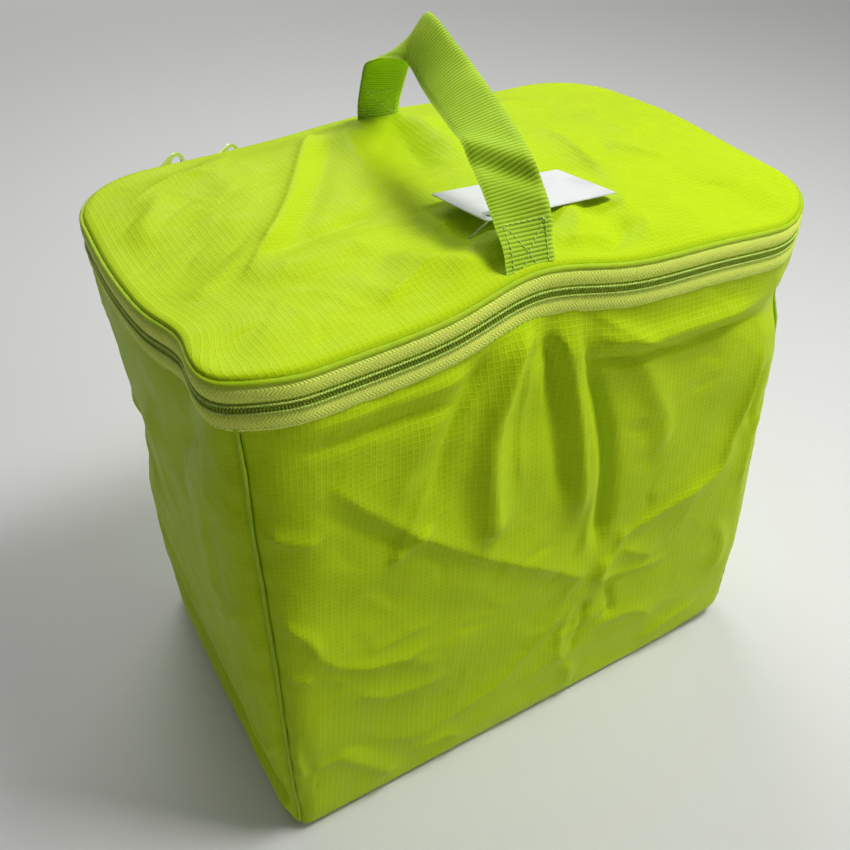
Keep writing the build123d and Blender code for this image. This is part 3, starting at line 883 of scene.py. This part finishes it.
def lid_height(x, y):
    """Height of the lid's cloth over the settled rim."""
    inside = np.clip(edge_distance(x, y) - 1.4, 0, None)
    roll = np.sqrt(np.clip(1 - (1 - np.clip(inside / LID_ROLL, 0, 1)) ** 2, 0, 1))
    room = ease(inside, 1.5, 17)
    detail = (1.25 * folds(x, y, LID_FOLDS) + fine_creases(x, y, LID_CREASES, 97)) * room
    detail += (1.2 * waves(x, y, 95, 31) + 0.4 * waves(x, y, 36, 32)) * room
    detail += 0.5 * (crumple(x, y, 22, 81) - 0.4) * room
    z = HINGE_Z + 0.6 + 3.6 * roll + lid_shape(x, y) * ease(inside, 0, 42) + detail
    card_z = TAG_EYE[2] - TAG_SLOPE[0] * (x - TAG_EYE[0]) - TAG_SLOPE[1] * (y - TAG_EYE[1])
    under = ease(-np.hypot(np.maximum(np.abs(x - 26) - 46, 0), np.maximum(np.abs(y + 52) - 28, 0)), -26, -2)
    return z - under * np.maximum(z - card_z + 1.8, 0)


TAG_EYE = (-15.4, -70.3, 376.6)      # where the card's eye is, and the card's slope along X and Y
TAG_SLOPE = (0.0878, 0.0875)


def rim_lift(s, inside):
    """The rim's lift and outward push, carried a little way into the lid."""
    lift, push = settle(s, HINGE_Z + 0 * s)
    return lift * ease(-inside, -75, 0), push * ease(-inside, -60, 0)


OVERHANG = 3.0


def overhang(s):
    """Where the padded lid bulges over its piping: along the left side and at the front left."""
    gap = np.mod(s - RIM_STOPS[7] + RIM_LENGTH / 2, RIM_LENGTH) - RIM_LENGTH / 2
    return 0.35 + 0.65 * np.exp(-(gap / 60) ** 2)


def lid_points(rings, columns, out, height):
    """Points over the lid in rings from its middle to its edge."""
    s = np.linspace(0, RIM_LENGTH, columns)[None, :]
    x, y, nx, ny, radius = outline(s, HINGE_Z + 0 * s)
    edge = np.stack([x + (radius + out) * nx, y + (radius + out) * ny], -1)
    core = np.stack([x * 0.93, y * 0.55], -1)
    r = rings[:, None, None]
    plan = core + (edge - core) * r
    inner = core[None] * 1.0
    return s, plan, inner


def lid_cloth(material):
    """The lid's top as a square grid fitted to the rounded plan, so that the weave runs straight."""
    nx_, ny_ = 190, 130
    gu = np.linspace(-1, 1, nx_)[None, :] + np.zeros((ny_, 1))
    gv = np.linspace(-1, 1, ny_)[:, None] + np.zeros((1, nx_))
    x, y = squircle(gu, gv, -1.3)
    inside = np.clip(edge_distance(x, y) - 1.3, 0, None)
    s = rim_place(x, y)
    lift, push = rim_lift(s, inside)
    z = lid_height(x, y) + lift
    nx, ny = outline(s, HINGE_Z + 0 * s)[2:4]
    puff = OVERHANG * overhang(s) * np.sin(np.clip(inside / 9, 0, 1) * math.pi)
    points = np.stack([x + (push + puff) * nx, y + (push + puff) * ny, z], -1)
    return grid_object("lid_cloth", points, x, y)


def squircle(gu, gv, out):
    """Maps the square from -1 to 1 onto the rim's plan, moved out by out."""
    half_w, half_d, radius = HALF_W + out, HALF_D + out, TOP_R + out
    x, y = gu * half_w, gv * half_d
    # Points in a corner move in towards the arc's centre, along the line to it
    cx, cy = half_w - radius, half_d - radius
    ax, ay = np.abs(x) - cx, np.abs(y) - cy
    corner = (ax > 0) & (ay > 0)
    most = np.maximum(ax, ay)
    size = np.hypot(ax, ay)
    scale = np.where(corner & (size > 0), most / np.where(size > 0, size, 1), 1.0)
    blend = np.where(corner, scale, 1.0)
    x = np.sign(x) * np.where(corner, cx + ax * blend, np.abs(x))
    y = np.sign(y) * np.where(corner, cy + ay * blend, np.abs(y))
    return x, y


def rim_place(x, y):
    """The rim distance nearest to a point of the plan."""
    cx, cy = FRONT_RUN, SIDE_RUN
    dx, dy = x - np.clip(x, -cx, cx), y - np.clip(y, -cy, cy)
    # Inside the core, the nearest side decides
    gap_x, gap_y = HALF_W - np.abs(x), HALF_D - np.abs(y)
    flat = (dx == 0) & (dy == 0)
    dx = np.where(flat & (gap_x < gap_y), np.sign(x) * 1.0, dx)
    dy = np.where(flat & (gap_x >= gap_y), np.where(y < 0, -1.0, 1.0), dy)
    angle = np.arctan2(dy, dx)
    right_side = SEAMS[0] + (RIM_STOPS[2] - SEAMS[0])
    s = np.zeros(x.shape)
    front = (dx == 0) & (dy < 0)
    back = (dx == 0) & (dy > 0)
    right = (dy == 0) & (dx > 0)
    left = (dy == 0) & (dx < 0)
    s = np.where(front, x, s)
    s = np.where(right, RIM_STOPS[2] + (y + SIDE_RUN), s)
    s = np.where(back, RIM_STOPS[4] + (FRONT_RUN - x), s)
    s = np.where(left, RIM_STOPS[6] + (SIDE_RUN - y), s)
    quarter = math.pi / 2
    corner = (dx != 0) & (dy != 0)
    starts = [(-quarter, RIM_STOPS[1]), (0.0, RIM_STOPS[3]), (quarter, RIM_STOPS[5]), (-math.pi, RIM_STOPS[7])]
    for low, stop in starts:
        here = corner & (angle >= low) & (angle <= low + quarter)
        s = np.where(here, stop + (angle - low) * TOP_R, s)
    return s


# ---------------------------------------------------------------- the zip

def rim_band(name, profile, s_from, s_to, step=2.2, pull=0.0):
    """A strip along the rim whose section is given as (height, out) points."""
    count = max(2, int((s_to - s_from) / step))
    s = np.linspace(s_from, s_to, count)[:, None]
    profile = np.array(profile, float)
    z, out = profile[:, 0][None, :], profile[:, 1][None, :]
    points = rim(s, z + 0 * s, out + pull)
    v = np.concatenate([[0], np.cumsum(np.hypot(np.diff(profile[:, 0]), np.diff(profile[:, 1])))])
    return grid_object(name, points, s + 0 * z, v[None, :] + 0 * s, flip=False)


def coil_stamp(depth=1.9, height=3.0, radius=0.62):
    """One turn of the coil: a bent monofilament that locks at the chain's middle."""
    line = smooth_line([(-0.2, 0.0, -depth), (-0.2, height * 0.55, -depth * 0.75), (-0.15, height * 0.90, -0.5),
                        (0.0, height * 0.96, 0.05), (0.15, height * 0.84, 0.22), (0.2, height * 0.42, 0.34),
                        (0.2, -0.2, 0.1)], steps=2)
    return tube(line, radius, sides=5)


def stitch_stamp(length=2.0, radius=0.22, slant=0.0):
    t = np.linspace(-1, 1, 5)
    line = np.stack([t * length / 2, t * slant, radius * 1.2 * (1 - t ** 2) - 0.1], -1)
    return tube(line, radius, sides=5)


def rim_range(kind):
    """Where the tape's parts start and end along the rim."""
    back_left = REAR_MIDDLE + ZIP_SPLIT_X - RIM_LENGTH
    back_right = REAR_MIDDLE - ZIP_SPLIT_X
    if kind == "around":
        return back_left, back_right
    if kind == "left_end":
        return REAR_MIDDLE + ZIP_END_X, REAR_MIDDLE + ZIP_SPLIT_X
    return REAR_MIDDLE - ZIP_SPLIT_X, REAR_MIDDLE - ZIP_END_X


COIL_PITCH = 1.62
COIL_FOOT = 3.4       # from the chain's middle to the coil's outer edge


def coil_row(name, s_from, s_to, upper):
    stamp, faces = coil_stamp()
    count = int((s_to - s_from) / COIL_PITCH)
    places = s_from + (np.arange(count) + (0.5 if upper else 0.0)) * COIL_PITCH
    z = CHAIN_Z + COIL_FOOT if upper else CHAIN_Z - COIL_FOOT
    turns = stamp[:, [0, 1, 2]]
    faces = [f for f in faces if len(f) == 4]
    return wrapped_stamps(name, turns, faces, places, z, out=-0.7, mirror=upper)


def stitch_row(name, places, z, out, length=2.0, radius=0.22):
    stamp, faces = stitch_stamp(length, radius)
    faces = [f for f in faces if len(f) == 4]
    return wrapped_stamps(name, stamp, faces, places, z, out=out)


# ---------------------------------------------------------------- the handle

STRAP_ANGLE = math.radians(8.7)
STRAP_W = 29.0
STRAP_T = 1.9
# (distance along the strap's plane, height, twist about the strap's own line in degrees)
HANDLE_LINE = [
    (-118, 357, 4), (-117, 364, 6), (-114.5, 371, 9), (-110.5, 380, 8), (-105, 388.5, -8), (-97, 397, -20), (-84, 405.5, -18),
    (-66, 414.5, -14), (-40, 421.5, -20), (-15, 427, -34), (8, 432, -48), (27, 436.8, -56), (38, 437.2, -54),
    (50, 431.5, -34), (66, 421.5, -14), (80, 412, 2), (89, 405, 9), (96, 396, 8), (103, 385, 5), (108, 375, 2),
    (110.5, 365, 0)]


DENT_AT = 67.0


def strap_frame(steps=9):
    line = smooth_line(HANDLE_LINE, steps)
    direction = np.array([math.sin(STRAP_ANGLE), math.cos(STRAP_ANGLE)])
    centre = np.stack([-2 + line[:, 0] * direction[0], line[:, 0] * direction[1], line[:, 1]], -1)
    tangent = np.gradient(centre, axis=0)
    tangent /= np.linalg.norm(tangent, axis=1)[:, None]
    b0 = np.array([math.cos(STRAP_ANGLE), -math.sin(STRAP_ANGLE), 0.0])
    n0 = np.cross(tangent, b0)
    twist = np.radians(line[:, 2])[:, None]
    width = np.cos(twist) * b0 + np.sin(twist) * n0
    normal = np.cross(tangent, width)
    length = np.concatenate([[0], np.cumsum(np.linalg.norm(np.diff(centre, axis=0), axis=1))])
    return centre, width, normal, length


def strap_bend(at, x):
    """How far the webbing stands off its own line: its cupping, and the dent across its front leg."""
    cup = 1.6 * np.sin(np.asarray(at) / 38.0 + 0.6) * (0.5 - np.asarray(x) ** 2)
    above = np.asarray(at) - DENT_AT + 13.0 * np.asarray(x)
    return cup - 2.4 * np.exp(-((above - 6) / 9) ** 2) + 2.8 * np.exp(-((above + 5) / 7) ** 2)


def strap_piece():
    """One length of webbing: a ring of points round its section at each station."""
    centre, width, normal, length = strap_frame()
    across = 14
    half_w, half_t = STRAP_W / 2, STRAP_T / 2
    ring = []
    for k in range(across + 1):
        ring.append((-1 + 2 * k / across, 1.0))
    for k in range(across + 1):
        ring.append((1 - 2 * k / across, -1.0))
    ring = np.array(ring)
    edge = np.sqrt(np.clip(1 - np.abs(ring[:, 0]) ** 14, 0, 1))
    points, us, vs = [], [], []
    v_ring = np.where(ring[:, 1] > 0, ring[:, 0] * half_w + half_w, 3 * half_w - ring[:, 0] * half_w)
    v_ring = np.append(v_ring, 4 * half_w)
    stations = np.arange(0, length[-1], RIB_PITCH / 6)
    centre, width, normal = ([[np.interp(at, length, rows[:, k]) for k in range(3)] for at in stations]
                             for rows in (centre, width, normal))
    centre, width, normal = np.array(centre), np.array(width), np.array(normal)
    for p, w, n, at in zip(centre, width, normal, stations):
        rib = 0.22 * abs(math.sin(math.pi * at / RIB_PITCH))
        ripple = 0.25 * np.sin(at / 5.5 + 3 * ring[:, 0]) * np.abs(ring[:, 0]) ** 3
        offset = (half_t + rib) * ring[:, 1] * edge + strap_bend(at, ring[:, 0]) + ripple
        row = p + np.outer(ring[:, 0] * half_w, w) + np.outer(offset, n)
        points.append(np.vstack([row, row[:1]]))
        us.append(np.full(len(ring) + 1, at))
        vs.append(v_ring)
    piece = grid_object("handle_webbing", np.array(points), np.array(us), np.array(vs), wrap=True, flip=True)
    return piece


def strap_surface(at, across, side=1.0, lift=0.15):
    """A point on the strap: at along it, across from its middle, on its upper (1) or lower (-1) face."""
    centre, width, normal, length = strap_frame()
    pick = lambda rows: np.stack([np.interp(at, length, rows[:, k]) for k in range(3)], -1)
    p, w, n = pick(centre), pick(width), pick(normal)
    x = np.asarray(across) / (STRAP_W / 2)
    offset = side * (STRAP_T / 2 + lift) + strap_bend(at, x)
    return p + np.asarray(across)[..., None] * w + offset[..., None] * n


def sewn_line(a, b, pitch=3.0, share=0.72, side=1.0, radius=0.33):
    """A row of stitches on the strap between two (at, across) points."""
    a, b = np.array(a, float), np.array(b, float)
    count = max(1, int(np.linalg.norm(b - a) / pitch))
    parts = []
    for i in range(count):
        t = (i + 0.5 + share * np.linspace(-0.5, 0.5, 6)) / count
        flat = a + (b - a) * t[:, None]
        hump = 0.35 * np.sin(np.linspace(0, math.pi, 6)) - 0.1
        line = strap_surface(flat[:, 0], flat[:, 1], side) + 0 * hump[:, None]
        up = strap_surface(flat[:, 0], flat[:, 1], side, 1.15) - strap_surface(flat[:, 0], flat[:, 1], side)
        parts.append(tube(line + up * hump[:, None], radius, 6))
    return parts


def box_stitches(start, length, side):
    """A sewn box with a cross in it."""
    half = STRAP_W / 2 - 4.0
    end = start + length
    corners = [(start, -half), (end, -half), (end, half), (start, half)]
    parts = []
    for a, b in zip(corners, corners[1:] + corners[:1]):
        parts += sewn_line(a, b, side=side)
    parts += sewn_line(corners[0], corners[2], side=side)
    parts += sewn_line(corners[1], corners[3], side=side)
    return parts


# ---------------------------------------------------------------- the set

def light(name, kind, place, target, energy, size, size_y=None, color=(1, 1, 1)):
    data = bpy.data.lights.new(name, "AREA")
    data.shape = kind
    data.energy = energy
    data.size = size
    if size_y:
        data.size_y = size_y
    data.color = color
    lamp = bpy.data.objects.new(name, data)
    bpy.context.scene.collection.objects.link(lamp)
    lamp.location = place
    aim = Vector(target) - Vector(place)
    lamp.rotation_euler = aim.to_track_quat("-Z", "Y").to_euler()
    return lamp


def studio():
    scene = bpy.context.scene
    world = bpy.data.worlds.new("studio")
    world.use_nodes = True
    background = world.node_tree.nodes["Background"]
    background.inputs[0].default_value = (1.0, 1.0, 1.0, 1)
    background.inputs[1].default_value = 0.15
    scene.world = world
    scene.view_settings.view_transform = "Standard"
    mesh = bpy.data.meshes.new("floor")
    half = 4.0
    mesh.from_pydata([(-half, -half, 0), (half, -half, 0), (half, half, 0), (-half, half, 0)], [], [(0, 1, 2, 3)])
    floor = bpy.data.objects.new("floor", mesh)
    scene.collection.objects.link(floor)
    paper = Shader("paper_floor", (0.74, 0.74, 0.73), 0.7)
    paper.bump(paper.noise(30.0), 0.1, 0.1)
    mesh.materials.append(paper.material)
    light("key", "RECTANGLE", (0.44, -0.36, 1.40), (0.0, 0.0, 0.3), 12.8, 0.38, 0.38)
    light("front_soft", "RECTANGLE", (1.05, -0.85, 0.62), (0.0, -0.1, 0.25), 3.4, 0.5, 0.5)
    light("far_floor", "RECTANGLE", (0.6, 3.6, 2.6), (0.6, 2.8, 0.0), 50.0, 3.0, 2.0)
    light("rear_soft", "RECTANGLE", (0.35, 0.95, 1.25), (0.0, 0.0, 0.33), 5.0, 0.9, 0.7)


def camera():
    """Camera at the photograph's angle, from azimuth, elevation and roll in degrees."""
    azimuth, elevation, roll = (math.radians(a) for a in (-29.408, 38.538, -1.030))
    back = Vector((math.sin(azimuth) * math.cos(elevation), -math.cos(azimuth) * math.cos(elevation),
                   math.sin(elevation)))
    right = (-back).cross(Vector((0, 0, 1))).normalized()
    up = right.cross(-back)
    turned = math.cos(roll) * right + math.sin(roll) * up
    up = -math.sin(roll) * right + math.cos(roll) * up
    data = bpy.data.cameras.new("camera")
    data.sensor_width = 36.0
    data.lens = 939.15 / 850 * 36
    data.clip_start = 0.01
    eye = bpy.data.objects.new("camera", data)
    bpy.context.scene.collection.objects.link(eye)
    rotation = Matrix((turned, up, back)).transposed().to_4x4()
    eye.matrix_world = Matrix.Translation((-0.26426, -0.44107, 0.59457)) @ rotation
    bpy.context.scene.camera = eye


# ---------------------------------------------------------------- making the pieces

camera()
studio()

ripstop = ripstop_material()
piping = piping_material()
tape = tape_material()
coil = coil_material()
webbing = webbing_material()
thread = thread_material()
foil = foil_material()
foam = foam_material()
enamel = enamel_material()
card = card_material()
clear = plastic_material()
binding = tape_material("woven_binding", (0.30, 0.48, 0.03), 1.9)

for name in FACES:
    cloth = panel(name)
    thicken(cloth, 0.8)
    finish_piece(cloth, ripstop, "bag", (name, FOAM_OF[name]))
base = thicken(base_piece(), 0.8)
finish_piece(base, ripstop, "bag", ("base_panel", "base_foam"))
for sign, name in ((1, "right_side_piping"), (-1, "left_side_piping")):
    finish_piece(seam_piping(sign), piping, "bag", (name,))

# Lid
lid_top = lid_cloth(ripstop)
thicken(lid_top, 0.8)
finish_piece(lid_top, ripstop, "lid", ("lid_cover", "lid_foam"))
s_all = np.linspace(0, RIM_LENGTH, 560)
rim_line = rim(s_all, HINGE_Z, -1.0)
finish_piece(cord_object("rim_piping", rim_line, PIPING_R, wrap=True), piping, "lid", ("lid_piping",))

# Zip: the lower half goes all the way round to the hinge strip, the upper half opens at the rear corners
COIL_EDGE = 2.9
lower_section = [(SHOULDER_Z - 1.5, -1.9), (SHOULDER_Z + 0.2, -0.4), (SHOULDER_Z + 2.5, 0.35),
                 (CHAIN_Z - 7.0, 0.45), (CHAIN_Z - 4.4, 0.0), (CHAIN_Z - 3.4, -0.9), (CHAIN_Z - 1.0, -2.2)]
upper_section = [(CHAIN_Z + 1.0, -2.2), (CHAIN_Z + 3.4, -0.9), (CHAIN_Z + 4.4, 0.0), (CHAIN_Z + 7.0, 0.4),
                 (HINGE_Z - 2.4, 0.3), (HINGE_Z - 0.4, -1.4)]
round_start, round_end = rim_range("around")
lower_from, lower_to = REAR_MIDDLE + ZIP_END_X - RIM_LENGTH, REAR_MIDDLE - ZIP_END_X
piece = thicken(rim_band("lower_tape", lower_section, lower_from, lower_to), 0.5)
finish_piece(piece, tape, "bag", ("body_zip_tape",))
finish_piece(coil_row("lower_coil", lower_from + 4, lower_to - 4, False), coil, "bag", ("body_zip_coil",))
corner_s = RIM_STOPS[4] - ARC_RUN - 15
parts = [("upper_tape", round_start + (RIM_STOPS[4] - corner_s), corner_s, None, ("lid_zip_tape",)),
         ("upper_tape_right_rear", corner_s, round_end, 1, ()),
         ("upper_tape_left_rear", round_start, round_start + (RIM_STOPS[4] - corner_s), -1, ())]
def crossing(sign):
    return {"start": (sign * 147.0, 127.0, CHAIN_Z), "end": (sign * 190.0, 62.0, CHAIN_Z)}


for name, s_from, s_to, side, nodes in parts:
    piece = thicken(rim_band(name, upper_section, s_from, s_to), 0.5)
    if side is None:
        finish_piece(piece, tape, "lid", nodes)
    else:
        turn = crossing(side)
        finish_piece(piece, tape, across=("bag", "lid", turn["start"], turn["end"]))
coil_parts = [("upper_coil", round_start + (RIM_STOPS[4] - corner_s), corner_s, None, ("lid_zip_coil",)),
              ("upper_coil_right_rear", corner_s, round_end, 1, ()),
              ("upper_coil_left_rear", round_start, round_start + (RIM_STOPS[4] - corner_s), -1, ())]
for name, s_from, s_to, side, nodes in coil_parts:
    piece = coil_row(name, s_from, s_to, True)
    if side is None:
        finish_piece(piece, coil, "lid", nodes)
    else:
        turn = crossing(side)
        finish_piece(piece, coil, across=("bag", "lid", turn["start"], turn["end"]))
for side in ("left_end", "right_end"):
    s_from, s_to = rim_range(side)
    label = side.replace("_end", "")
    end_tape = thicken(rim_band(label + "_parked_tape", upper_section, s_from, s_to), 0.5)
    finish_piece(end_tape, tape, "bag", (label + "_zip_end",))
    inner = (s_from + (4 if side == "right_end" else 4), s_to - 0)
    finish_piece(coil_row(label + "_parked_coil", s_from + 4, s_to - 2, True), coil, "bag")

hinge_section = [(SHOULDER_Z - 2, -1.8), (SHOULDER_Z + 0.5, -0.2), (SHOULDER_Z + 6, 0.35), (CHAIN_Z, 0.5),
                 (HINGE_Z - 5, 0.2), (HINGE_Z - 1.2, -1.2)]
strip = rim_band("hinge_cloth", hinge_section, REAR_MIDDLE - ZIP_END_X, REAR_MIDDLE + ZIP_END_X)
finish_piece(thicken(strip, 0.8), ripstop, "bag", ("hinge_strip",))

# The stitches that hold the coil show as rows of beads
BEAD = 1.25
for name, s_from, s_to, z, body in (
        ("lower_coil_beads", lower_from + 4, lower_to - 4, CHAIN_Z - 2.1, "bag"),
        ("upper_coil_beads", round_start + (RIM_STOPS[4] - corner_s), corner_s, CHAIN_Z + 2.1, "lid")):
    places = np.arange(s_from, s_to, COIL_PITCH)
    finish_piece(stitch_row(name, places, z, 0.42, BEAD, 0.5), thread, body)

# Rows of stitches along both tapes
STITCH_PITCH = 3.0
places = np.arange(lower_from + 2, lower_to - 2, STITCH_PITCH)
finish_piece(stitch_row("lower_tape_stitches", places, SHOULDER_Z + 1.6, 0.55), thread, "bag")
places = np.arange(round_start + (RIM_STOPS[4] - corner_s) + 1, corner_s - 1, STITCH_PITCH)
finish_piece(stitch_row("upper_tape_stitches", places, HINGE_Z - 3.4, 0.45), thread, "lid")

# Inside: foil tub, its binding, the lid's foil and its binding
rows = np.linspace(TUB_FLOOR_Z + 0.6, FOAM_TOP_Z, 60)[:, None]
s = np.linspace(0, RIM_LENGTH, 300)[None, :]
wall_out = -(HALF_W - span("tub_liner")[1][0]) + 0.2
crinkle = 1.3 * waves(s, rows, 46, 41) + 0.8 * waves(s, rows, 19, 42)
fade = ease(rows, TUB_FLOOR_Z, TUB_FLOOR_Z + 25) * ease(-rows, -FOAM_TOP_Z, -FOAM_TOP_Z + 20)
pushed = np.zeros((rows + s).shape)
for name, (start, end, table, swell) in FACES.items():
    near = np.mod(s - start, RIM_LENGTH) + start + 0 * rows
    pushed = np.where(near <= end, wall_push(name, near, rows + 0 * near), pushed)
points = rim(s, rows, wall_out - 0.6 + np.minimum(pushed + 1.0, 0) + (crinkle - 1.2) * fade + sag(s, rows))
tub = grid_object("tub_foil", points, s + 0 * rows, rows + 0 * s, wrap=True, flip=True)
thicken(tub, 0.5)
finish_piece(tub, foil, "bag", ("tub_liner",))
rings = np.linspace(0, 1, 30)[:, None]
x, y, nx, ny, radius = outline(s, 0 * s + TUB_FLOOR_Z)
px = (x + (radius + wall_out - 0.6) * nx) * rings ** 0.85
py = (y + (radius + wall_out - 0.6) * ny) * rings ** 0.85
pz = TUB_FLOOR_Z + 1.0 + (0.8 + 0.7 * waves(px, py, 50, 43) + 0.4 * waves(px, py, 21, 44)) * (1 - rings ** 6)
floor_foil = grid_object("tub_floor_foil", np.stack([px, py, pz], -1), px, py, wrap=True, flip=False)
finish_piece(thicken(floor_foil, 0.4), foil, "bag")

binding_section = [(FOAM_TOP_Z - 7, wall_out - 0.9), (FOAM_TOP_Z - 1, wall_out - 1.3), (FOAM_TOP_Z + 1.3, wall_out + 0.6),
                   (FOAM_TOP_Z + 1.8, -4.4), (FOAM_TOP_Z + 1.3, -2.2), (FOAM_TOP_Z - 1, -1.6)]
edge_binding = rim_band("tub_binding", binding_section, 0, RIM_LENGTH)
finish_piece(thicken(edge_binding, 0.7), binding, "bag", ("rim_binding",))

gu = np.linspace(-1, 1, 150)[None, :] + np.zeros((100, 1))
gv = np.linspace(-1, 1, 100)[:, None] + np.zeros((1, 150))
x, y = squircle(gu, gv, -4.2)
inside = np.clip(edge_distance(x, y) - 4.2, 0, None)
s_near = rim_place(x, y)
lift, push = rim_lift(s_near, inside)
low = LID_FOAM_Z - 0.6 + lift + (-1.0 + 1.1 * waves(x, y, 48, 51) + 0.6 * waves(x, y, 20, 52)) * ease(inside, 0, 25)
nx, ny = outline(s_near, HINGE_Z + 0 * s_near)[2:4]
lid_foil = grid_object("lid_foil", np.stack([x + push * nx, y + push * ny, low], -1), x, y, flip=True)
finish_piece(thicken(lid_foil, 0.4), foil, "lid", ("lid_liner",))
lid_binding_section = [(LID_FOAM_Z - 1.0, -9.0), (LID_FOAM_Z - 1.6, -6.5), (LID_FOAM_Z - 0.8, -3.4),
                       (LID_FOAM_Z + 1.2, -2.4), (HINGE_Z - 2.0, -2.2)]
piece = rim_band("lid_edge_binding", lid_binding_section, 0, RIM_LENGTH)
finish_piece(thicken(piece, 0.7), binding, "lid", ("lid_binding",))

# Handle
strap = strap_piece()
handle_nodes = ("handle_loop", "handle_front_end", "handle_rear_end")
finish_piece(strap, webbing, nodes=handle_nodes,
             across=("lid", "handle", (0, 0, 362), (0, 0, 392)))
strap_length = strap_frame()[3][-1]
stitched = box_stitches(3.5, 31.0, 1.0) + box_stitches(3.5, 31.0, -1.0)
stitched += box_stitches(strap_length - 24.5, 22.0, 1.0) + box_stitches(strap_length - 24.5, 22.0, -1.0)
finish_piece(make_object("handle_stitches", *joined(stitched)), thread,
             across=("lid", "handle", (0, 0, 362), (0, 0, 392)))

# Zip hardware keeps its CAD shape
for node in ("corner_slider", "rear_slider", "corner_pull", "rear_pull", "zip_end_stops"):
    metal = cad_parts[node]
    metal.data.materials.clear()
    metal.data.materials.append(enamel)

# Tag and its plastic loop
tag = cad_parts["hang_tag"]
tag.data.materials.clear()
tag.data.materials.append(card)
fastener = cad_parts["tag_fastener"]
fastener.data.materials.clear()
fastener.data.materials.append(clear)
